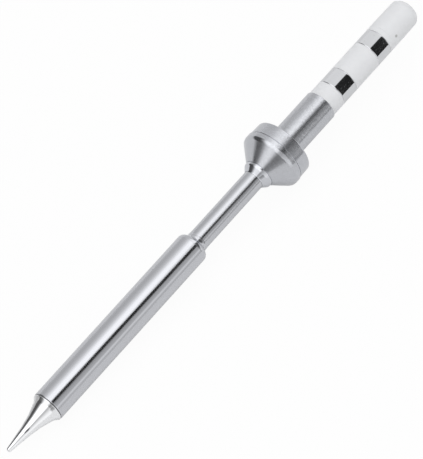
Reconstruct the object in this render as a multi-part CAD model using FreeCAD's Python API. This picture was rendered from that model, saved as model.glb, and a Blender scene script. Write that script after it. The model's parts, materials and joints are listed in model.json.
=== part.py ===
"""Plug-in cartridge tip for a small soldering iron, lying as it comes to rest on a table.

Every piece is first made along its own axis, with the bit's point at zero and the plug end at +X.
The last step lays the whole tip down: it rests on the collar's bead and on the barrel's front edge.
All sizes are in millimetres and degrees.
"""
import FreeCAD, Part
import math
import os

# Clearances
press_gap = 0.02  # radial, between turned pieces pushed or bonded together
wire_gap = 0.05  # radial, round a wire in its passage

# Bit
point_radius = 0.42
taper_angle = 7.4
flare_start = 6.8  # from the point to where the straight taper bends outwards
flare_rounding = 19.5
knee_setback = 0.16  # from the lip's front face back to the flare's tight bend
knee_radius = 2.18
knee_rounding = 0.7
nose_length = 9.45  # from the point to the lip
lip_length = 0.4
lip_step = 0.14  # how far the lip stays below the barrel's surface
lip_rounding = 0.06
shank_length = 14.0
heater_bore_radius = 1.6
heater_bore_depth = 13.0

# Heater in the bit's bore
heater_sleeve_wall = 0.28
heater_sleeve_end_wall = 0.35
former_radius = 0.85
former_flange = 0.5
former_bore_radius = 0.17
former_front_space = 1.1  # from the sleeve's end wall to the former, where the bead sits
coil_wire_radius = 0.12
coil_pitch = 0.55
coil_turns = 16
coil_front_space = 0.9  # from the former's front face to the first turn
bead_radius = 0.3
tail_bend = 0.4

# Barrel
barrel_radius = 2.8
barrel_wall = 0.3
barrel_length = 37.65
barrel_edge = 0.08
barrel_end_wall = 1.0
shoulder_rounding = 0.9
shoulder_root = 0.23  # how far the shoulder leans back down to the lip
shoulder_root_rounding = 0.3
rolled_lip_length = 0.75
rolled_lip_wall = 0.1
bush_length = 3.5
filling_front = 3.65  # from the bit's shank to the packed filling

# Neck
neck_radius = 1.83
neck_wall = 0.3
exposed_neck = 14.2  # from the barrel's rolled lip to the collar's nose

# Collar
nose_land = 0.04
nose_length_collar = 0.67
nose_rounding = 0.6
hub_radius = 2.66
hub_length = 0.56
hub_rounding = 0.12
hub_groove_width = 0.1
hub_groove_depth = 0.1
cone_root_radius = 2.72
cone_length = 2.9  # from the groove to where the cone would meet the bead's radius
bead_radius_collar = 5.53
bead_rounding = 1.5
bead_length = 1.25
bead_rear_rounding = 0.2
rim_groove_width = 0.09
rim_groove_depth = 0.12
rim_front_radius = 5.42
rim_rear_radius = 5.34
rim_length = 2.5
rim_rounding = 0.3
sleeve_seat_depth = 0.25  # shallow recess in the collar's rear face, where the sleeve's end sits
collar_spigot_length = 2.0  # from the rear face, inside the sleeve

# Plug end
sleeve_radius = 2.875
sleeve_wall = 0.35
exposed_sleeve = 9.75
sleeve_edge = 0.1
plug_radius = 2.71
neck_in_sleeve = 2.15  # how far the neck tube reaches past the collar's rear face
spigot_length = 6.0
front_insulator_length = 2.74
front_ring_length = 3.48
middle_insulator_length = 5.98
rear_ring_length = 3.28
washer_length = 0.91
cap_length = 7.2
cap_end_radius = 2.66
cap_rounding = 1.45
cap_wall = 3.0  # solid end of the cap behind the core
ring_edge = 0.1
ceramic_edge = 0.05
core_radius = 1.5

# Leads
lead_radius = 0.25
lead_offset = 0.62  # of each lead from the axis
lead_bend = 0.45
lead_start = 0.3  # how far the leads stand out of the front of the filling

# Places along the axis that several pieces share
barrel_front = nose_length + lip_length
shank_rear = barrel_front + shank_length
heater_bore_end = shank_rear - heater_bore_depth
sleeve_mouth = shank_rear - former_flange
former_front = heater_bore_end + heater_sleeve_end_wall + former_front_space
coil_front = former_front + coil_front_space
coil_rear = coil_front + coil_pitch * coil_turns
bead_at = former_front - former_front_space / 2
shoulder = barrel_front + barrel_length - rolled_lip_length - shoulder_root
rolled_lip_rear = barrel_front + barrel_length
barrel_end = shoulder - barrel_end_wall
bush_front = barrel_end - bush_length
filling_start = shank_rear + filling_front
leads_front = filling_start - lead_start
collar_front = rolled_lip_rear + exposed_neck
hub_front = collar_front + nose_length_collar
hub_rear = hub_front + hub_length
cone_front = hub_rear + hub_groove_width
bead_front = cone_front + cone_length
bead_rear = bead_front + bead_length
collar_rear = bead_rear + rim_groove_width + rim_length
sleeve_front = collar_rear - sleeve_seat_depth
collar_spigot_rear = collar_rear + collar_spigot_length
sleeve_rear = collar_rear + exposed_sleeve
neck_rear = collar_rear + neck_in_sleeve
front_ring = sleeve_rear + front_insulator_length
middle_insulator_front = front_ring + front_ring_length
rear_ring = middle_insulator_front + middle_insulator_length
washer_front = rear_ring + rear_ring_length
cap_front = washer_front + washer_length
tip_rear = cap_front + cap_length
core_rear = tip_rear - cap_wall

# Radii that fit one another
barrel_bore = barrel_radius - barrel_wall
filling_radius = barrel_bore - press_gap
neck_bore = neck_radius - neck_wall
neck_hole = neck_radius + press_gap
sleeve_seat = sleeve_radius + press_gap
sleeve_bore = sleeve_radius - sleeve_wall
spigot_radius = sleeve_bore - press_gap
core_hole = core_radius + press_gap
heater_sleeve_radius = heater_bore_radius - press_gap
heater_sleeve_bore = heater_sleeve_radius - heater_sleeve_wall
coil_radius = former_radius + press_gap + coil_wire_radius
passage_radius = lead_radius + wire_gap
tail_hole = coil_wire_radius + wire_gap
lead_reach = math.sqrt(core_hole**2 - lead_radius**2)  # where a lead's flat end meets a ring's bore


def rounded_path(corners, closed):
    """Lines through the corners with an arc at each that has a rounding, as (x, y) or (x, y, rounding)."""
    count = len(corners)
    points = [FreeCAD.Vector(corner[0], corner[1], 0) for corner in corners]
    roundings = [corner[2] if len(corner) > 2 else 0 for corner in corners]
    stops = []
    for i, here in enumerate(points):
        if not roundings[i]:
            stops.append((here, here, here))
            continue
        sides = []
        room = []
        for j in (i - 1, (i + 1) % count):
            side = points[j] - here
            room.append(side.Length / (2 if roundings[j] else 1))
            sides.append(side.normalize())
        half_angle = sides[0].getAngle(sides[1]) / 2
        setback = min(roundings[i] / math.tan(half_angle), *room)
        radius = setback * math.tan(half_angle)
        inward = (sides[0] + sides[1]).normalize()
        middle = here + inward * (radius / math.sin(half_angle) - radius)
        stops.append((here + sides[0] * setback, middle, here + sides[1] * setback))
    edges = []
    for i, (arrive, middle, leave) in enumerate(stops):
        if roundings[i]:
            edges.append(Part.Arc(arrive, middle, leave).toShape())
        if i + 1 < count or closed:
            ahead = stops[(i + 1) % count][0]
            if leave.distanceToPoint(ahead) > 1e-6:
                edges.append(Part.LineSegment(leave, ahead).toShape())
    return Part.Wire(edges)


def turned(*corners):
    """Solid of revolution about the axis, from its half section's corners as (along, radius, rounding)."""
    face = Part.Face(rounded_path(corners, closed=True))
    return face.revolve(FreeCAD.Vector(0, 0, 0), FreeCAD.Vector(1, 0, 0), 360)


def ring(front, rear, outer, inner, edge=0):
    """Plain tube between two places on the axis, with rounded outer edges."""
    return turned((front, inner), (front, outer, edge), (rear, outer, edge), (rear, inner))


def wire(radius, *corners):
    """Round wire along a path in the plane of the two leads."""
    path = rounded_path(corners, closed=False)
    start = path.Edges[0]
    along = start.tangentAt(start.FirstParameter)
    circle = Part.Circle(FreeCAD.Vector(corners[0][0], corners[0][1], 0), along, radius)
    return path.makePipeShell([Part.Wire(circle.toShape())], True, False)


def soldering_bit():
    """Cone with a concave flare up to a thin lip, and a bored shank that fits in the barrel."""
    tip_corner = point_radius * math.tan(math.radians((90 - taper_angle) / 2))
    flare_radius = tip_corner + flare_start * math.tan(math.radians(taper_angle))
    lip_radius = barrel_radius - lip_step
    shank_radius = barrel_bore - press_gap
    return turned(
        (0, 0),
        (0, tip_corner, point_radius),
        (flare_start, flare_radius, flare_rounding),
        (nose_length - knee_setback, knee_radius, knee_rounding),
        (nose_length, lip_radius, lip_rounding),
        (barrel_front, lip_radius),
        (barrel_front, shank_radius),
        (shank_rear, shank_radius),
        (shank_rear, heater_bore_radius),
        (heater_bore_end, heater_bore_radius),
        (heater_bore_end, 0),
    )


def heater_sleeve():
    """Ceramic tube with a closed front end that keeps the coil off the bit."""
    inner_end = heater_bore_end + heater_sleeve_end_wall
    return turned(
        (heater_bore_end, 0),
        (heater_bore_end, heater_sleeve_radius),
        (sleeve_mouth, heater_sleeve_radius),
        (sleeve_mouth, heater_sleeve_bore),
        (inner_end, heater_sleeve_bore),
        (inner_end, 0),
    )


def heater_former():
    """Ceramic rod for the coil, with a flange that closes the sleeve's mouth."""
    body = turned(
        (former_front, former_bore_radius),
        (former_front, former_radius),
        (sleeve_mouth, former_radius),
        (sleeve_mouth, heater_sleeve_radius),
        (shank_rear, heater_sleeve_radius),
        (shank_rear, former_bore_radius),
    )
    return body.cut(wire(tail_hole, (coil_rear, coil_radius), (leads_front, coil_radius)))


def coil_tails():
    """The coil's two straight ends: one bends in to the sensing bead, one runs back to the power lead."""
    jog = (leads_front - shank_rear) / 4
    front = wire(
        coil_wire_radius,
        (coil_front, coil_radius),
        (bead_at, coil_radius, tail_bend),
        (bead_at, 0),
    )
    rear = wire(
        coil_wire_radius,
        (coil_rear, coil_radius),
        (shank_rear + jog, coil_radius, tail_bend),
        (leads_front - jog, lead_offset, tail_bend),
        (leads_front, lead_offset),
    )
    return front, rear


def heater_coil():
    """Heating wire wound on the former as one helix, with a tail at each end."""
    helix = Part.makeHelix(coil_pitch, coil_pitch * coil_turns, coil_radius)
    start = helix.Edges[0]
    along = start.tangentAt(start.FirstParameter)
    circle = Part.Circle(FreeCAD.Vector(coil_radius, 0, 0), along, coil_wire_radius)
    winding = Part.Wire(helix.Edges).makePipeShell([Part.Wire(circle.toShape())], True, True)
    # The helix stands on Z with its start at +X: turn it to lie along X with its start at +Y.
    onto_axis = FreeCAD.Matrix(0, 0, 1, coil_front, 1, 0, 0, 0, 0, 1, 0, 0, 0, 0, 0, 1)
    winding.transformShape(onto_axis, True)
    elbows = [
        Part.makeSphere(coil_wire_radius, FreeCAD.Vector(place, coil_radius, 0))
        for place in (coil_front, coil_rear)
    ]
    return winding.fuse([*coil_tails(), *elbows])


def sensor_wire():
    """Straight wire from the bead through the former's bore, then across to the return lead."""
    jog = (leads_front - shank_rear) / 4
    return wire(
        coil_wire_radius,
        (bead_at, 0),
        (shank_rear + jog, 0, tail_bend),
        (leads_front - jog, -lead_offset, tail_bend),
        (leads_front, -lead_offset),
    )


def sensor_bead():
    """Welded bead that joins the coil's front tail to the sensor wire."""
    bead = Part.makeSphere(bead_radius, FreeCAD.Vector(bead_at, 0, 0))
    return bead.cut([coil_tails()[0], sensor_wire()])


def heater_barrel():
    """Tube with its rear end rolled in to a rounded shoulder and a small lip round the neck."""
    lip_radius = neck_hole + rolled_lip_wall
    return turned(
        (barrel_front, barrel_bore),
        (barrel_front, barrel_radius, barrel_edge),
        (shoulder, barrel_radius, shoulder_rounding),
        (shoulder + shoulder_root, lip_radius, shoulder_root_rounding),
        (rolled_lip_rear, lip_radius),
        (rolled_lip_rear, neck_hole),
        (barrel_end, neck_hole),
        (barrel_end, barrel_bore),
    )


def lead_ends(reach):
    """Paths of the power and return leads, out to the given distance from the axis."""
    paths = []
    for side, contact, length in (
        (1, rear_ring, rear_ring_length),
        (-1, front_ring, front_ring_length),
    ):
        turn = contact + length / 2
        paths.append(
            (
                (leads_front, side * lead_offset),
                (turn, side * lead_offset, lead_bend),
                (turn, side * reach),
            )
        )
    return paths


def passages():
    """Round holes for both leads, for cutting the ceramic pieces that carry them."""
    return [wire(passage_radius, *path) for path in lead_ends(plug_radius)]


def power_lead():
    """Wire from the coil's tail to the rear contact ring."""
    return wire(lead_radius, *lead_ends(lead_reach)[0])


def return_lead():
    """Wire from the sensor wire to the front contact ring."""
    return wire(lead_radius, *lead_ends(lead_reach)[1])


def barrel_filling():
    """Packed ceramic between the heater and the neck, with two lead passages."""
    return ring(filling_start, bush_front, filling_radius, 0).cut(passages())


def barrel_bush():
    """Steel bush that centres the neck tube in the barrel."""
    return ring(bush_front, barrel_end, filling_radius, neck_hole)


def neck_tube():
    """Thin tube from the barrel's bush, through the collar, into the rear sleeve."""
    return ring(bush_front, neck_rear, neck_radius, neck_bore)


def lead_insulator():
    """Twin-bore ceramic rod that fills the neck tube."""
    return ring(bush_front, neck_rear, neck_bore - press_gap, 0).cut(passages())


def collar():
    """Turned stop collar: flared nose, hub, groove, cone, round bead, groove line, rim and rear spigot."""
    nose_radius = neck_hole + nose_land
    hub_groove = hub_radius - hub_groove_depth
    rim_groove = rim_front_radius - rim_groove_depth
    rim_front = bead_rear + rim_groove_width
    return turned(
        (collar_front, neck_hole),
        (collar_front, nose_radius),
        (hub_front, nose_radius, nose_rounding),
        (hub_front, hub_radius, hub_rounding),
        (hub_rear, hub_radius),
        (hub_rear, hub_groove),
        (cone_front, hub_groove),
        (cone_front, cone_root_radius),
        (bead_front, bead_radius_collar, bead_rounding),
        (bead_rear, bead_radius_collar, bead_rear_rounding),
        (bead_rear, rim_groove),
        (rim_front, rim_groove),
        (rim_front, rim_front_radius),
        (collar_rear, rim_rear_radius, rim_rounding),
        (collar_rear, sleeve_seat),
        (sleeve_front, sleeve_seat),
        (sleeve_front, spigot_radius),
        (collar_spigot_rear, spigot_radius),
        (collar_spigot_rear, neck_hole),
    )


def rear_sleeve():
    """Earth contact sleeve, pressed over the collar's spigot."""
    return ring(sleeve_front, sleeve_rear, sleeve_radius, sleeve_bore, sleeve_edge)


def front_insulator():
    """Stepped ceramic tube with a spigot inside the sleeve."""
    spigot_front = sleeve_rear - spigot_length
    return turned(
        (spigot_front, core_hole),
        (spigot_front, spigot_radius),
        (sleeve_rear, spigot_radius),
        (sleeve_rear, plug_radius, ceramic_edge),
        (front_ring, plug_radius, ceramic_edge),
        (front_ring, core_hole),
    )


def front_contact_ring():
    """Polished metal ring, the return contact."""
    return ring(front_ring, middle_insulator_front, plug_radius, core_hole, ring_edge)


def middle_insulator():
    """Ceramic tube between the two contact rings."""
    return ring(middle_insulator_front, rear_ring, plug_radius, core_hole, ceramic_edge)


def rear_contact_ring():
    """Polished metal ring, the power contact."""
    return ring(rear_ring, washer_front, plug_radius, core_hole, ring_edge)


def insulating_washer():
    """Thin ceramic washer behind the rear ring."""
    return ring(washer_front, cap_front, plug_radius, core_hole, ceramic_edge)


def end_cap():
    """Ceramic cap with a rounded end, bored for the core."""
    return turned(
        (cap_front, core_hole),
        (cap_front, plug_radius, ceramic_edge),
        (tip_rear, cap_end_radius, cap_rounding),
        (tip_rear, 0),
        (core_rear, 0),
        (core_rear, core_hole),
    )


def contact_core():
    """Twin-bore ceramic rod that carries the rings and spacers."""
    return ring(neck_rear, core_rear, core_radius, 0).cut(passages())


def lay_down(shape):
    """Tilt the tip until the barrel's front edge and the collar's bead both touch the table."""
    edge_along = barrel_front + barrel_edge
    edge_out = barrel_radius - barrel_edge
    cone_rise = math.atan((bead_radius_collar - cone_root_radius) / cone_length)
    bead_along = bead_front + bead_rounding * math.tan(cone_rise / 2)
    bead_out = bead_radius_collar - bead_rounding
    span = math.hypot(bead_along - edge_along, bead_out - edge_out)
    slope = math.atan2(bead_out - edge_out, bead_along - edge_along)
    tilt = slope + math.asin((bead_rounding - barrel_edge) / span)
    height = barrel_edge + edge_out * math.cos(tilt) - edge_along * math.sin(tilt)
    placed = shape.copy()
    placed.rotate(FreeCAD.Vector(0, 0, 0), FreeCAD.Vector(0, 1, 0), -math.degrees(tilt))
    placed.translate(FreeCAD.Vector(-tip_rear * math.cos(tilt) / 2, 0, height))
    return placed


pieces = (
    soldering_bit,
    heater_sleeve,
    heater_former,
    heater_coil,
    sensor_wire,
    sensor_bead,
    heater_barrel,
    power_lead,
    return_lead,
    barrel_filling,
    barrel_bush,
    neck_tube,
    lead_insulator,
    collar,
    rear_sleeve,
    front_insulator,
    front_contact_ring,
    middle_insulator,
    rear_contact_ring,
    insulating_washer,
    end_cap,
    contact_core,
)

os.makedirs("parts", exist_ok=True)
for piece in pieces:
    lay_down(piece()).exportStep(f"parts/{piece.__name__}.step")
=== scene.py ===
import json
import math

import bmesh
import bpy
from mathutils import Matrix, Vector


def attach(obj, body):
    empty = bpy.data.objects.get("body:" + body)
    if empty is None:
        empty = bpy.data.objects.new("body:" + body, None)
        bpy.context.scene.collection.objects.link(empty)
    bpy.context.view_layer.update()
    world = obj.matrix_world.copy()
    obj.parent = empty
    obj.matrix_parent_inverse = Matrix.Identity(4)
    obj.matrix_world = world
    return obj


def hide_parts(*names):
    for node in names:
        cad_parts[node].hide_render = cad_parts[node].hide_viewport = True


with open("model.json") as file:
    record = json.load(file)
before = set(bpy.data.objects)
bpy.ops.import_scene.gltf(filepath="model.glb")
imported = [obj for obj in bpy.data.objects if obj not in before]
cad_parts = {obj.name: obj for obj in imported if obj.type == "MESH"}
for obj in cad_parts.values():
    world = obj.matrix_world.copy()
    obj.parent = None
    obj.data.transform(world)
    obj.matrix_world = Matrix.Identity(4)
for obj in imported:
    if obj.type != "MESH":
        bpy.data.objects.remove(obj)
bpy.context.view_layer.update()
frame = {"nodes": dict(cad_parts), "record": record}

# Lengths are in millimetres along and out from the tip's own axis, with the bit's point at zero.
mm = 0.001
steps_round = 192  # faces round a turned piece
arc_step = math.radians(9)  # largest turn between two points of a rounding
guard = 0.04  # beyond each rounding, where the straight stretch gets a point that keeps its shading flat
sharp_edge = math.radians(28)

# Fits, as the pieces are made
press_gap = 0.02

# Bit
point_radius = 0.42
taper_angle = 7.9
flare_start = 6.54
flare_rounding = 21.4
knee_setback = 0.65
knee_radius = 2.2
knee_rounding = 2.0
nose_length = 9.6
lip_step = 0.06
lip_rounding = 0.08
seam_width = 0.16  # of the dark band on each side of the barrel's front edge: painted shade of the joint's gap, with charred flux there as well
streak_along = 4.45  # a short streak of burnt flux
streak_angle = math.radians(6)  # round the axis, from the camera's side
streak_slimness = 8  # its length over its width
heater_bore_radius = 1.6
heater_bore_depth = 13.0

# Barrel
barrel_wall = 0.3
barrel_edge = 0.12
barrel_end_wall = 1.0
shoulder_rounding = 1.0
shoulder_root = 0.45
shoulder_root_rounding = 0.5
rolled_lip_length = 0.9
rolled_lip_taper = 0.5  # length over which the lip narrows towards the neck
rolled_lip_wall = 0.12
rolled_lip_rim = 0.02  # what is left of that wall at its rear end
neck_wall = 0.3

# Collar
nose_land = 0.04
collar_nose_length = 0.67
nose_rounding = 0.5
nose_flare_start = 0.06  # from the nose to where it flares
hub_radius = 2.66
hub_length = 0.75
hub_front_radius = 2.62
hub_front_rounding = 0.5
flare_overlap = 0.26  # how far the flare reaches over the hub
hub_groove_width = 0.1
hub_groove_depth = 0.04
cone_root_radius = 2.72
cone_length = 2.81
bead_rounding = 1.0
bead_length = 1.25
bead_rear_rounding = 0.2
rim_groove_width = 0.09
rim_groove_depth = 0.08
rim_front_radius = 5.42
rim_rear_radius = 5.34
rim_length = 2.4
rim_rounding = 0.35

# Plug end
sleeve_wall = 0.35
sleeve_edge = 0.1
ring_edge = 0.12
ceramic_edge = 0.05
core_radius = 1.5
cap_end_radius = 2.66
cap_rounding = 1.45
cap_wall = 3.0
fleck_along = 96.95  # a grey fleck on the cap
fleck_angle = math.radians(35.8)

# Floor, which reflects dimmer beside the bit, away from the camera: painted shade on the floor there, which
# only reflections show
floor_radius = 4000
white_to_camera = 0.95  # share of plain white that the camera sees in it
white_in_reflections = 0.25
dim_until = 13  # behind the bit's point
dim_fully_until = 7
dim_edge = 14  # from below the axis to where it is fully dim
dim_share = 0.42

# Camera, from the perspective of the rings and the change of width along the photographed tip
camera_ahead = 141.5  # of the bit's point, along the axis
camera_away = 513.2  # from the axis
camera_aside = 0.385  # towards the tip's lower side in the picture
camera_lean = math.radians(20.5)  # of the view towards the plug end
axis_slope = math.radians(47.87)  # of the tip in the picture
lens = 265.6

# Panels of the studio, from the back of the tip over its top to its front, each stop with the degrees round
# the axis from the camera's side and the brightness there
panels_ahead = (
    (-180, 0.62), (-120, 0.56), (-108, 0.33), (-97, 0.26), (-85, 0.3), (-74, 0.7), (-64, 1.1),
    (-54, 1.26), (-28, 1.26), (-16, 1.06), (-2, 0.48), (10, 0.24), (32, 0.25), (52, 0.38),
    (66, 0.54), (80, 0.7), (180, 0.7),
)
panels_across = (
    (-180, 0.7), (-112, 0.6), (-108, 0.1), (-77, 0.1), (-67, 0.45), (-58, 1.0), (-51, 1.6), (-10, 1.6),
    (-3, 1.3), (4, 0.62), (12, 0.55), (20, 0.68), (30, 0.85), (42, 1.0), (52, 1.1), (66, 1.02),
    (76, 0.9), (180, 0.85),
)
panels_beside = (
    (-180, 0.78), (-108, 0.7), (-90, 0.64), (-76, 0.7), (-60, 0.87), (-47, 1.18), (-34, 1.58),
    (-16, 1.62), (-7, 1.25), (10, 1.25), (12, 0.42), (26, 0.56), (40, 0.64), (46, 0.95), (53, 0.97),
    (60, 0.68), (69, 0.7), (74, 0.85), (180, 0.85),
)
panels_behind_collar = (
    (-180, 0.78), (-108, 0.7), (-90, 0.65), (-74, 0.67), (-58, 0.9), (-44, 1.26), (-30, 1.5),
    (-20, 1.3), (-13, 0.9), (-6, 0.42), (1, 0.19), (14, 0.19), (22, 0.27), (42, 0.38), (52, 0.5),
    (64, 0.4), (72, 0.7), (180, 0.85),
)
panels_far_end = (
    (-180, 0.6), (-108, 0.7), (-62, 0.85), (-44, 1.4), (-8, 1.4), (-2, 0.12), (36, 0.14), (48, 0.5),
    (60, 0.9), (72, 1.0), (180, 0.7),
)
panel_slant = 120  # degrees by which a slanting edge turns, for each unit that a direction leans rearwards
card_black = 0.98  # share of the light that a black card takes away


class Value:
    """A socket of a shader; Python's operators on it add the maths nodes."""

    def __init__(self, shader, socket):
        self.shader = shader
        self.socket = socket

    def maths(self, operation, *others):
        return self.shader.maths(operation, self, *others)

    def __add__(self, other):
        return self.maths("ADD", other)

    __radd__ = __add__

    def __sub__(self, other):
        return self.maths("SUBTRACT", other)

    def __rsub__(self, other):
        return self.shader.maths("SUBTRACT", other, self)

    def __mul__(self, other):
        return self.maths("MULTIPLY", other)

    __rmul__ = __mul__

    def __truediv__(self, other):
        return self.maths("DIVIDE", other)


class Shader:
    """Node tree of a material or a world, emptied and ready to be filled."""

    def __init__(self, owner):
        owner.use_nodes = True
        self.tree = owner.node_tree
        self.tree.nodes.clear()

    def node(self, kind, settings=None, inputs=None, out=0):
        """Adds a node, sets its settings and then its sockets, and returns one of its outputs."""
        made = self.tree.nodes.new(kind)
        for name, setting in (settings or {}).items():
            if name == "stops":
                self.set_stops(made.color_ramp, setting)
            else:
                setattr(made, name, setting)
        for name, given in (inputs or {}).items():
            if isinstance(given, Value):
                self.tree.links.new(given.socket, made.inputs[name])
            else:
                made.inputs[name].default_value = given
        return Value(self, made.outputs[out]) if made.outputs else made

    def set_stops(self, ramp, stops):
        """Gives a ramp its stops, as pairs of a place and a grey level."""
        while len(ramp.elements) < len(stops):
            ramp.elements.new(1.0)
        for element, (place, level) in zip(ramp.elements, stops):
            element.position = place
            element.color = (level, level, level, 1)

    def maths(self, operation, *given):
        return self.node("ShaderNodeMath", {"operation": operation}, dict(enumerate(given)))

    def dot(self, vector, direction):
        both = {0: vector, 1: direction}
        return self.node("ShaderNodeVectorMath", {"operation": "DOT_PRODUCT"}, both, "Value")

    def distance(self, vector, other):
        both = {0: vector, 1: other}
        return self.node("ShaderNodeVectorMath", {"operation": "DISTANCE"}, both, "Value")

    def step(self, value, low, high):
        """Rises smoothly from 0 at low to 1 at high, or falls where high is the lower."""
        rise = {"interpolation_type": "SMOOTHSTEP"}
        if low <= high:
            return self.node("ShaderNodeMapRange", rise, {"Value": value, 1: low, 2: high})
        return 1 - self.node("ShaderNodeMapRange", rise, {"Value": value, 1: high, 2: low})

    def band(self, value, low, high, edge):
        """One between low and high, and zero outside them."""
        return self.step(value, low - edge, low + edge) * self.step(value, high + edge, high - edge)

    def mix(self, factor, one, other):
        """Colour that goes from one to other."""
        settings = {"data_type": "RGBA"}
        given = {"Factor": factor, 6: self.colour(one), 7: self.colour(other)}
        return self.node("ShaderNodeMix", settings, given, 2)

    def colour(self, given):
        if isinstance(given, tuple) and len(given) == 3:
            return (*given, 1)
        return given

    def noise(self, vector, scale, detail=2.0, roughness=0.5):
        given = {"Vector": vector, "Scale": scale, "Detail": detail, "Roughness": roughness}
        return self.node("ShaderNodeTexNoise", None, given)

    def stretched(self, vector, length_scale, cross_scale):
        """The same place with its lengthwise and crosswise scales changed."""
        scales = (length_scale, cross_scale, cross_scale)
        return self.node("ShaderNodeMapping", None, {"Vector": vector, "Scale": scales})


def tip_axis():
    """The tip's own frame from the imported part: its axis, and its point on that axis."""
    sleeve = next(m for m in frame["record"]["mounts"] if m["name"] == "earth_sleeve")
    axis = Vector(sleeve["axis"]).normalized()
    middle = Vector(sleeve["pos_m"])
    bit = frame["nodes"]["soldering_bit"].data.vertices
    front = min((vertex.co - middle).dot(axis) for vertex in bit)
    return axis, middle + axis * front


along, tip_point = tip_axis()
upward = along.cross(Vector((0, 1, 0)))
turn = Matrix((along, Vector((0, 1, 0)), upward)).transposed()
place = Matrix.Translation(tip_point) @ turn.to_4x4() @ Matrix.Scale(mm, 4)


def reach(node):
    """Front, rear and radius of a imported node, in millimetres in the tip's own frame."""
    back = place.inverted()
    points = [back @ vertex.co for vertex in frame["nodes"][node].data.vertices]
    radius = max(math.hypot(point.y, point.z) for point in points)
    return min(point.x for point in points), max(point.x for point in points), radius


barrel_front, rolled_lip_rear, barrel_radius = reach("heater_barrel")
bush_front, neck_rear, neck_radius = reach("neck_tube")
shank_rear = reach("soldering_bit")[1]
collar_front, collar_spigot_rear, bead_radius = reach("collar")
sleeve_front, sleeve_rear, sleeve_radius = reach("rear_sleeve")
spigot_front, front_ring, plug_radius = reach("front_insulator")
middle_front, middle_rear = reach("middle_insulator")[:2]
washer_front, cap_front = reach("insulating_washer")[:2]
tip_rear = reach("end_cap")[1]

barrel_bore = barrel_radius - barrel_wall
neck_hole = neck_radius + press_gap
sleeve_bore = sleeve_radius - sleeve_wall
spigot_radius = sleeve_bore - press_gap
core_hole = core_radius + press_gap
bright_nose = collar_front + collar_nose_length + hub_length  # how far the collar is cut bright


def sides_at(points, i):
    """Directions and lengths of the two sides that meet at a corner."""
    both = [points[i - 1] - points[i], points[(i + 1) % len(points)] - points[i]]
    return [side.normalized() for side in both], [side.length for side in both]


def arc_setbacks(points, roundings):
    """How far from its corner each arc starts; two arcs share a side that is too short for both."""
    wanted = [
        rounding / math.tan(Vector.angle(*sides_at(points, i)[0]) / 2) if rounding else 0
        for i, rounding in enumerate(roundings)
    ]
    setbacks = []
    for i, own in enumerate(wanted):
        lengths = sides_at(points, i)[1]
        others = (wanted[i - 1], wanted[(i + 1) % len(points)])
        fit = [length / (own + other) for length, other in zip(lengths, others) if own]
        setbacks.append(own * min(1, *fit) if fit else 0)
    return setbacks


def rounded_corner(bm, here, sides, setback, room):
    """Spins one rounding of an outline and guards both its ends; returns its first and last point."""
    half_angle = sides[0].angle(sides[1]) / 2
    radius = setback * math.tan(half_angle)
    centre = here + (sides[0] + sides[1]).normalized() * radius / math.sin(half_angle)
    start = bm.verts.new(here + sides[0] * setback)
    swing = math.pi - 2 * half_angle
    arc = bmesh.ops.spin(
        bm,
        geom=[start],
        cent=centre,
        axis=sides[1].cross(sides[0]).normalized(),
        angle=swing,
        steps=max(2, math.ceil(swing / arc_step)),
    )
    ends = [start, arc["geom_last"][0]]
    for i in (0, 1):
        if room[i] > 3 * guard:
            beyond = bm.verts.new(here + sides[i] * (setback + guard))
            bm.edges.new((ends[i], beyond))
            ends[i] = beyond
    return ends


def half_section(bm, corners):
    """Outline through the corners, each given as along, out and, where it is rounded, its radius."""
    points = [Vector((corner[0], corner[1], 0)) for corner in corners]
    setbacks = arc_setbacks(points, [corner[2] if len(corner) > 2 else 0 for corner in corners])
    ends = []
    for i, here in enumerate(points):
        if not setbacks[i]:
            vertex = bm.verts.new(here)
            ends.append((vertex, vertex))
            continue
        sides, lengths = sides_at(points, i)
        taken = (setbacks[i - 1], setbacks[(i + 1) % len(points)])
        room = [length - setbacks[i] - other for length, other in zip(lengths, taken)]
        ends.append(rounded_corner(bm, here, sides, setbacks[i], room))
    for i, (_, leave) in enumerate(ends):
        bm.edges.new((leave, ends[(i + 1) % len(ends)][0]))


def finish_piece(name, bm, node, material):
    """Puts a finished mesh in its place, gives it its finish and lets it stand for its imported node."""
    bmesh.ops.remove_doubles(bm, verts=bm.verts, dist=1e-4)
    bmesh.ops.recalc_face_normals(bm, faces=bm.faces)
    for face in bm.faces:
        face.smooth = True
    for edge in bm.edges:
        edge.smooth = edge.calc_face_angle(0) < sharp_edge
    bmesh.ops.transform(bm, matrix=place, verts=bm.verts)
    mesh = bpy.data.meshes.new(name)
    bm.to_mesh(mesh)
    bm.free()
    mesh.materials.append(material)
    piece = bpy.data.objects.new(name, mesh)
    bpy.context.scene.collection.objects.link(piece)
    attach(piece, "root")
    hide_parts(node)
    return piece


def turned(name, node, slot, material, *corners):
    """A turned piece, spun from the corners of its half section."""
    bm = bmesh.new()
    half_section(bm, corners)
    bmesh.ops.spin(
        bm,
        geom=bm.verts[:] + bm.edges[:],
        cent=(0, 0, 0),
        axis=(1, 0, 0),
        angle=2 * math.pi,
        steps=steps_round,
        use_merge=True,
    )
    return finish_piece(name, bm, node, material)


def tube(name, node, slot, material, front, rear, outer, inner, edge):
    """Plain tube with rounded outer edges."""
    corners = ((front, inner), (front, outer, edge), (rear, outer, edge), (rear, inner))
    return turned(name, node, slot, material, *corners)


def own_place(shader):
    """Place on the tip in millimetres, along and across its own axis."""
    given = {
        "Vector": shader.node("ShaderNodeTexCoord", out="Object"),
        "Location": tip_point,
        "Rotation": turn.to_euler(),
        "Scale": (mm, mm, mm),
    }
    return shader.node("ShaderNodeMapping", {"vector_type": "TEXTURE"}, given)


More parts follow.
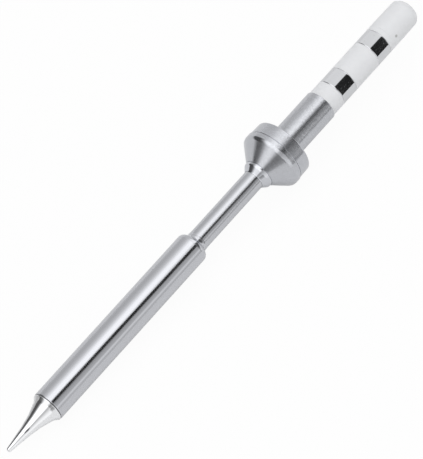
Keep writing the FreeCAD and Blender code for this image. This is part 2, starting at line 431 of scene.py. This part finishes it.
def surface(name, fill):
    """Material whose look is given by fill, which returns the shader's inputs and its bump."""
    material = bpy.data.materials.new(name)
    shader = Shader(material)
    inputs, height, depth = fill(shader, own_place(shader))
    given = {"Height": height, "Distance": depth, "Strength": 1.0}
    inputs["Normal"] = shader.node("ShaderNodeBump", None, given)
    glossy = shader.node("ShaderNodeBsdfPrincipled", None, inputs)
    shader.node("ShaderNodeOutputMaterial", None, {"Surface": glossy})
    return material


def drawn_steel(name, tone, roughness, line_depth):
    """Bright drawn tube, polished round, with faint turned lines and long drawn streaks."""

    def fill(shader, point):
        turned_lines = shader.noise(shader.stretched(point, 9.0, 0.35), 1.0, 3.0, 0.6)
        streaks = shader.noise(shader.stretched(point, 0.12, 7.0), 1.0, 3.0, 0.6)
        clouds = shader.noise(point, 0.5, 2.0)
        shade = (streaks - 0.5) * 0.10 + (turned_lines - 0.5) * 0.05 + 0.5
        dark = tuple(channel * 0.9 for channel in tone)
        bright = tuple(channel * 1.08 for channel in tone)
        inputs = {
            "Base Color": shader.mix(shade, dark, bright),
            "Metallic": 1.0,
            "Roughness": roughness + (clouds - 0.5) * 0.05 + (turned_lines - 0.5) * 0.04,
        }
        return inputs, turned_lines * 0.7 + streaks * 0.5, line_depth

    return surface(name, fill)


def turned_steel(name, tone, roughness, line_depth, bright_until=-1.0):
    """Lathe-turned steel with fine rings round the axis, cut brighter up to a place on the tip."""

    def fill(shader, point):
        length = shader.node("ShaderNodeSeparateXYZ", None, {0: point})
        bright_part = shader.step(length, bright_until + 0.1, bright_until - 0.1)
        rings = shader.noise(shader.stretched(point, 14.0, 0.25), 1.0, 4.0, 0.65)
        grain = shader.noise(point, 5.0, 3.0, 0.6)
        clouds = shader.noise(point, 0.6, 2.0)
        shade = (rings - 0.5) * 0.6 + (grain - 0.5) * 1.5 + (clouds - 0.5) * 0.3 + 0.5
        dark = tuple(channel * 0.84 for channel in tone)
        bright = tuple(channel * 1.1 for channel in tone)
        inputs = {
            "Base Color": shader.mix(shade + bright_part * 0.6, dark, bright),
            "Metallic": 1.0,
            "Roughness": roughness + (rings - 0.5) * 0.12 + (clouds - 0.5) * 0.06 - bright_part * 0.09,
        }
        return inputs, rings + grain * 0.3, line_depth

    return surface(name, fill)


def brushed_steel(name, tone, roughness, line_depth):
    """Brushed sleeve: short uneven strokes round the axis, with a speckled grain."""

    def fill(shader, point):
        strokes = shader.noise(shader.stretched(point, 6.0, 1.6), 1.0, 4.0, 0.7)
        grain = shader.noise(point, 4.5, 4.0, 0.7)
        clouds = shader.noise(point, 0.5, 2.0)
        shade = (strokes - 0.5) * 1.1 + (grain - 0.5) * 1.4 + (clouds - 0.5) * 0.3 + 0.5
        dark = tuple(channel * 0.8 for channel in tone)
        bright = tuple(channel * 1.14 for channel in tone)
        inputs = {
            "Base Color": shader.mix(shade, dark, bright),
            "Metallic": 1.0,
            "Roughness": roughness + (strokes - 0.5) * 0.16 + (grain - 0.5) * 0.1,
        }
        return inputs, strokes + grain * 0.5, line_depth

    return surface(name, fill)


def polished_metal(name, tone, roughness, wave_depth, seam=-1.0):
    """Mirror-bright plating, slightly wavy, with a few specks, a streak of charred flux, and painted shade
    of the joint's gap darkening a seam, where charred flux lies too.
    """

    def fill(shader, point):
        length = shader.node("ShaderNodeSeparateXYZ", None, {0: point})
        # Painted shade: a near-black band on each side of the seam darkens it as the joint's gap would
        # shade it, with charred flux there too.
        seam_shade_and_flux_streak = shader.band(length, seam - seam_width, seam + seam_width, seam_width / 4)
        waves = shader.noise(point, 0.8, 1.0)
        specks = shader.noise(point, 5.0, 2.0, 0.5)
        spotted = shader.step(specks, 0.68, 0.74)
        shortened = shader.stretched(point, 1 / streak_slimness, 1.0)
        streak_middle = (streak_place[0] / streak_slimness, *streak_place[1:])
        from_streak = shader.distance(shortened, streak_middle) + (specks - 0.5) * 0.12
        # The seam's painted shade together with the charred flux streak, whichever is darker.
        seam_shade_and_flux_streak = shader.maths("MAXIMUM", seam_shade_and_flux_streak * 0.8, shader.step(from_streak, 0.17, 0.09) * 0.9)
        dull = tuple(channel * 0.72 for channel in tone)
        clean = shader.mix(spotted * 0.7, tone, dull)
        inputs = {
            "Base Color": shader.mix(seam_shade_and_flux_streak, clean, (0.08, 0.08, 0.09)),
            "Metallic": 1.0,
            "Roughness": roughness + spotted * 0.15 + (waves - 0.5) * 0.02 + seam_shade_and_flux_streak * 0.375,
        }
        return inputs, waves + specks * 0.05, wave_depth

    return surface(name, fill)


def ceramic(name, tone, shadow_tone):
    """White fired ceramic: matte, with a very faint mottling, a few grey specks and the grey fleck."""

    def fill(shader, point):
        mottle = shader.noise(point, 1.1, 3.0, 0.55)
        specks = shader.noise(point, 4.2, 2.0, 0.5)
        grain = shader.noise(point, 22.0, 2.0, 0.6)
        from_fleck = shader.distance(point, fleck_place)
        spotted = shader.step(specks, 0.70, 0.78) * 0.35
        spotted = spotted + shader.step(from_fleck + (grain - 0.5) * 0.3, 0.36, 0.14) * 0.9
        mottled = shader.mix((mottle - 0.4) * 1.6 + (grain - 0.5) * 0.8, tone, shadow_tone)
        inputs = {
            "Base Color": shader.mix(spotted, mottled, (0.42, 0.42, 0.41)),
            "Metallic": 0.0,
            "Roughness": 0.52 + (grain - 0.5) * 0.2,
            "Specular IOR Level": 0.35,
        }
        return inputs, grain * 0.5 + mottle, 0.004 * mm

    return surface(name, fill)


def build_bit(material):
    """Cone with a concave flare up to a thin lip, and a bored shank inside the barrel."""
    tip_corner = point_radius * math.tan(math.radians((90 - taper_angle) / 2))
    flare_radius = tip_corner + flare_start * math.tan(math.radians(taper_angle))
    lip_radius = barrel_radius - lip_step
    shank_radius = barrel_bore - press_gap
    bore_end = shank_rear - heater_bore_depth
    turned(
        "bit",
        "soldering_bit",
        "plated_bit",
        material,
        (0, 0),
        (0, tip_corner, point_radius),
        (flare_start, flare_radius, flare_rounding),
        (nose_length - knee_setback, knee_radius, knee_rounding),
        (nose_length, lip_radius, lip_rounding),
        (barrel_front, lip_radius, lip_rounding),
        (barrel_front, shank_radius),
        (shank_rear, shank_radius),
        (shank_rear, heater_bore_radius),
        (bore_end, heater_bore_radius),
        (bore_end, 0),
    )


def build_barrel(material):
    """Tube with its rear end rolled in to a rounded shoulder and a small lip."""
    lip_radius = neck_hole + rolled_lip_wall
    shoulder = rolled_lip_rear - rolled_lip_length - shoulder_root
    end = shoulder - barrel_end_wall
    turned(
        "barrel",
        "heater_barrel",
        "barrel_steel",
        material,
        (barrel_front, barrel_bore),
        (barrel_front, barrel_radius, barrel_edge),
        (shoulder, barrel_radius, shoulder_rounding),
        (shoulder + shoulder_root, lip_radius, shoulder_root_rounding),
        (shoulder + shoulder_root + rolled_lip_taper, neck_hole + rolled_lip_rim),
        (rolled_lip_rear, neck_hole + rolled_lip_rim),
        (rolled_lip_rear, neck_hole),
        (end, neck_hole),
        (end, barrel_bore),
    )


def build_neck(material):
    tube("neck", "neck_tube", "neck_steel", material,
         bush_front, neck_rear, neck_radius, neck_radius - neck_wall, 0)


def build_collar(material):
    """Stop collar: flared nose, hub, groove, cone, round bead, groove line, rim and rear spigot."""
    nose_radius = neck_hole + nose_land
    hub_front = collar_front + collar_nose_length
    hub_rear = hub_front + hub_length
    cone_front = hub_rear + hub_groove_width
    bead_front = cone_front + cone_length
    bead_rear = bead_front + bead_length
    rim_front = bead_rear + rim_groove_width
    collar_rear = rim_front + rim_length
    turned(
        "collar_ring",
        "collar",
        "collar_steel",
        material,
        (collar_front, neck_hole),
        (collar_front, nose_radius),
        (collar_front + nose_flare_start, nose_radius, nose_rounding),
        (hub_front + flare_overlap, hub_front_radius, hub_front_rounding),
        (hub_rear, hub_radius),
        (hub_rear, hub_radius - hub_groove_depth),
        (cone_front, hub_radius - hub_groove_depth),
        (cone_front, cone_root_radius),
        (bead_front, bead_radius, bead_rounding),
        (bead_rear, bead_radius, bead_rear_rounding),
        (bead_rear, rim_front_radius - rim_groove_depth),
        (rim_front, rim_front_radius - rim_groove_depth),
        (rim_front, rim_front_radius),
        (collar_rear, rim_rear_radius, rim_rounding),
        (collar_rear, sleeve_radius + press_gap),
        (sleeve_front, sleeve_radius + press_gap),
        (sleeve_front, spigot_radius),
        (collar_spigot_rear, spigot_radius),
        (collar_spigot_rear, neck_hole),
    )


def build_plug(sleeve_material, ring_material, ceramic_material):
    """Everything behind the collar: sleeve, insulators, contact rings, washer and cap."""
    tube("sleeve", "rear_sleeve", "sleeve_steel", sleeve_material,
         sleeve_front, sleeve_rear, sleeve_radius, sleeve_bore, sleeve_edge)
    turned(
        "insulator_front",
        "front_insulator",
        "white_ceramic",
        ceramic_material,
        (spigot_front, core_hole),
        (spigot_front, spigot_radius),
        (sleeve_rear, spigot_radius),
        (sleeve_rear, plug_radius, ceramic_edge),
        (front_ring, plug_radius, ceramic_edge),
        (front_ring, core_hole),
    )
    for name, node, front, rear in (
        ("contact_ring_front", "front_contact_ring", front_ring, middle_front),
        ("contact_ring_rear", "rear_contact_ring", middle_rear, washer_front),
    ):
        tube(name, node, "contact_metal", ring_material, front, rear, plug_radius, core_hole, ring_edge)
    for name, node, front, rear in (
        ("insulator_middle", "middle_insulator", middle_front, middle_rear),
        ("washer", "insulating_washer", washer_front, cap_front),
    ):
        tube(name, node, "white_ceramic", ceramic_material,
             front, rear, plug_radius, core_hole, ceramic_edge)
    core_rear = tip_rear - cap_wall
    turned(
        "cap",
        "end_cap",
        "white_ceramic",
        ceramic_material,
        (cap_front, core_hole),
        (cap_front, plug_radius, ceramic_edge),
        (tip_rear, cap_end_radius, cap_rounding),
        (tip_rear, 0),
        (core_rear, 0),
        (core_rear, core_hole),
    )


def dress_inner_pieces():
    """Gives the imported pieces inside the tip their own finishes."""
    fired = ceramic("fired_ceramic", (0.72, 0.69, 0.63), (0.60, 0.57, 0.52))
    packed = ceramic("packed_powder", (0.62, 0.60, 0.55), (0.50, 0.48, 0.44))
    alloy = turned_steel("heating_alloy_wire", (0.28, 0.26, 0.25), 0.42, 0.002 * mm)
    lead = drawn_steel("lead_wire", (0.55, 0.52, 0.47), 0.30, 0.002 * mm)
    bush = turned_steel("bush_turned_steel", (0.42, 0.42, 0.43), 0.30, 0.003 * mm)
    finishes = {
        "heater_sleeve": fired,
        "heater_former": fired,
        "lead_insulator": fired,
        "contact_core": fired,
        "barrel_filling": packed,
        "heater_coil": alloy,
        "sensor_bead": alloy,
        "sensor_wire": lead,
        "power_lead": lead,
        "return_lead": lead,
        "barrel_bush": bush,
    }
    for node, material in finishes.items():
        mesh = frame["nodes"][node].data
        mesh.materials.clear()
        mesh.materials.append(material)


def camera_frame():
    """Direction of view and place of the camera, level with the horizon, that give the photo's slope."""
    share = math.cos(camera_lean) * math.sin(axis_slope)
    lean = math.sin(camera_lean)
    down = math.acos(along.z / math.hypot(share, lean)) - math.atan2(lean, share)
    heading = math.acos((lean + along.z * math.sin(down)) / (along.x * math.cos(down)))
    view = Vector((
        math.cos(down) * math.cos(heading),
        math.cos(down) * math.sin(heading),
        -math.sin(down),
    ))
    toward = (along * lean - view) / math.cos(camera_lean)
    return view, toward, along.cross(toward)


view_direction, toward_camera, lower_side = camera_frame()


def spot(length, radius, angle):
    """Place on the tip's surface, its angle taken round the axis from the camera's side."""
    side = toward_camera * math.cos(angle) + lower_side * math.sin(angle)
    return length, radius * side.y, radius * side.dot(upward)


fleck_place = spot(fleck_along, plug_radius, fleck_angle)
streak_radius = point_radius + (streak_along - point_radius) * math.tan(math.radians(taper_angle))
streak_place = spot(streak_along, streak_radius, streak_angle)


def place_camera():
    camera = bpy.data.objects.new("camera", bpy.data.cameras.new("camera"))
    bpy.context.scene.collection.objects.link(camera)
    camera.data.lens = lens
    camera.data.clip_start = 0.05
    camera.data.clip_end = 20
    from_point = toward_camera * camera_away - along * camera_ahead + lower_side * camera_aside
    camera.location = tip_point + from_point * mm
    camera.rotation_euler = view_direction.to_track_quat("-Z", "Y").to_euler()
    bpy.context.scene.camera = camera


def lay_floor():
    """Plain pale floor, shown white, that still takes the tip's shadow and has painted shade beside the
    bit, which only reflections show.
    """
    bm = bmesh.new()
    bmesh.ops.create_circle(bm, cap_ends=True, segments=96, radius=floor_radius * mm)
    mesh = bpy.data.meshes.new("floor")
    bm.to_mesh(mesh)
    bm.free()
    floor = bpy.data.objects.new("floor", mesh)
    bpy.context.scene.collection.objects.link(floor)
    material = bpy.data.materials.new("pale_floor")
    shader = Shader(material)
    point = shader.node("ShaderNodeTexCoord", out="Object")
    grain = shader.noise(point, 60.0, 3.0)
    rays = {
        name: shader.node("ShaderNodeLightPath", None, None, name)
        for name in ("Is Camera Ray", "Is Glossy Ray", "Is Transmission Ray")
    }
    behind_point = shader.dot(point, along) - along.dot(tip_point)
    away = shader.dot(point, -lower_side) + lower_side.dot(tip_point)
    beside_bit = shader.step(behind_point, dim_until * mm, dim_fully_until * mm)
    # Painted shade: the floor beside the bit is darkened for glossy rays only, as if in shadow, so that the
    # bit reflects it darker.
    reflected_painted_shade = beside_bit * shader.step(away, 0, dim_edge * mm) * rays["Is Glossy Ray"] * dim_share
    pale = shader.mix(grain, (0.83, 0.83, 0.83), (0.87, 0.87, 0.87))
    lit = shader.node("ShaderNodeBsdfDiffuse", None, {"Color": shader.mix(reflected_painted_shade, pale, (0, 0, 0))})
    shown_white = shader.mix(reflected_painted_shade, (1, 1, 1), (0, 0, 0))
    white = shader.node("ShaderNodeEmission", None, {"Color": shown_white, "Strength": 1.0})
    shown = rays["Is Camera Ray"] * white_to_camera
    shown = shown + (rays["Is Glossy Ray"] + rays["Is Transmission Ray"]) * white_in_reflections
    both = shader.node("ShaderNodeMixShader", None, {0: shown, 1: lit, 2: white})
    shader.node("ShaderNodeOutputMaterial", None, {"Surface": both})
    mesh.materials.append(material)


def ramp_round(shader, round_angle, stops):
    """Brightness by the angle round the tip's axis, in degrees from the camera, up to 2."""
    place_on_ramp = round_angle / 360 + 0.5
    halved = [(angle / 360 + 0.5, level / 2) for angle, level in stops]
    ramp = shader.node("ShaderNodeValToRGB", {"stops": halved}, {0: place_on_ramp})
    return shader.node("ShaderNodeSeparateColor", None, {0: ramp}) * 2


def panel_light(shader, lengthwise, angle):
    """Brightness of the panels, in zones that each begin where a direction leans so far rearwards."""
    slanted = angle - (lengthwise - 0.39) * panel_slant
    near_camera = shader.band(angle, -15, 36, 7)
    across = shader.step(lengthwise, -0.85, -0.6)
    across = across + (shader.step(lengthwise, -0.915, -0.8) - across) * near_camera
    zones = (
        (across, angle, panels_across),
        (shader.step(lengthwise, 0.235, 0.265), angle, panels_beside),
        (shader.step(lengthwise, 0.370, 0.376), slanted, panels_behind_collar),
        (shader.step(lengthwise, 0.47, 0.55), angle, panels_far_end),
    )
    brightness = ramp_round(shader, angle, panels_ahead)
    for zone, turned_angle, stops in zones:
        brightness = brightness + (ramp_round(shader, turned_angle, stops) - brightness) * zone
    return brightness


def set_up_cards(shader, lengthwise, angle, brightness):
    """Changes the panels' light where a part shows a card: barrel and neck, collar's rim, contact rings."""
    black_strip = shader.band(angle - (lengthwise - 0.295) * panel_slant, -6, 13.5, 1.5)
    black_strip = black_strip * shader.band(lengthwise, 0.2, 0.371, 0.003)
    brightness = brightness * (1 - black_strip * card_black)

    bright_card = shader.band(angle, 13, 58, 3) * shader.band(lengthwise, 0.42, 0.475, 0.005)
    brightness = brightness * (1 + bright_card * 0.75)

    rings = shader.band(lengthwise, 0.3975, 0.4235, 0.001)
    brightness = brightness + (0.97 - brightness) * rings
    from_front_ring = lengthwise - 0.402
    black_card = shader.step(angle - from_front_ring * 286, -16.5, -13.5)
    black_card = black_card * shader.step(angle - from_front_ring * 560, 75, 71)
    return brightness * (1 - black_card * rings * card_black)


def light_studio():
    """Soft studio of panels that run along the tip, with narrow dark gaps and black cards between them."""
    world = bpy.data.worlds.new("studio")
    bpy.context.scene.world = world
    shader = Shader(world)
    direction = shader.node("ShaderNodeTexCoord", out="Generated")
    lengthwise = shader.dot(direction, along)
    near = shader.dot(direction, toward_camera)
    low = shader.dot(direction, lower_side)
    angle = shader.maths("ARCTAN2", low, near) * math.degrees(1)
    brightness = panel_light(shader, lengthwise, angle)
    brightness = set_up_cards(shader, lengthwise, angle, brightness)

    rays = shader.node("ShaderNodeLightPath", None, None, "Is Camera Ray")
    panels = shader.node("ShaderNodeBackground", None, {"Color": (1, 1, 1, 1), "Strength": brightness})
    white = shader.node("ShaderNodeBackground", None, {"Color": (1, 1, 1, 1), "Strength": 1.0})
    both = shader.node("ShaderNodeMixShader", None, {0: rays, 1: panels, 2: white})
    shader.node("ShaderNodeOutputWorld", None, {"Surface": both})


bpy.context.scene.view_settings.view_transform = "Standard"
# The bit's plating gets its painted seam shade at the barrel's front edge.
build_bit(polished_metal("plated_bright", (0.852, 0.86, 0.877), 0.045, 0.001 * mm, barrel_front))
build_barrel(drawn_steel("barrel_drawn_steel", (0.572, 0.58, 0.611), 0.10, 0.002 * mm))
build_neck(drawn_steel("neck_drawn_steel", (0.562, 0.57, 0.6), 0.13, 0.003 * mm))
build_collar(turned_steel("collar_turned_steel", (0.55, 0.56, 0.592), 0.17, 0.003 * mm, bright_nose))
build_plug(
    brushed_steel("sleeve_brushed_steel", (0.55, 0.56, 0.59), 0.20, 0.004 * mm),
    polished_metal("contact_bright", (0.652, 0.66, 0.68), 0.03, 0.0006 * mm),
    ceramic("white_ceramic", (0.802, 0.81, 0.829), (0.767, 0.775, 0.795)),
)
dress_inner_pieces()
place_camera()
lay_floor()
light_studio()
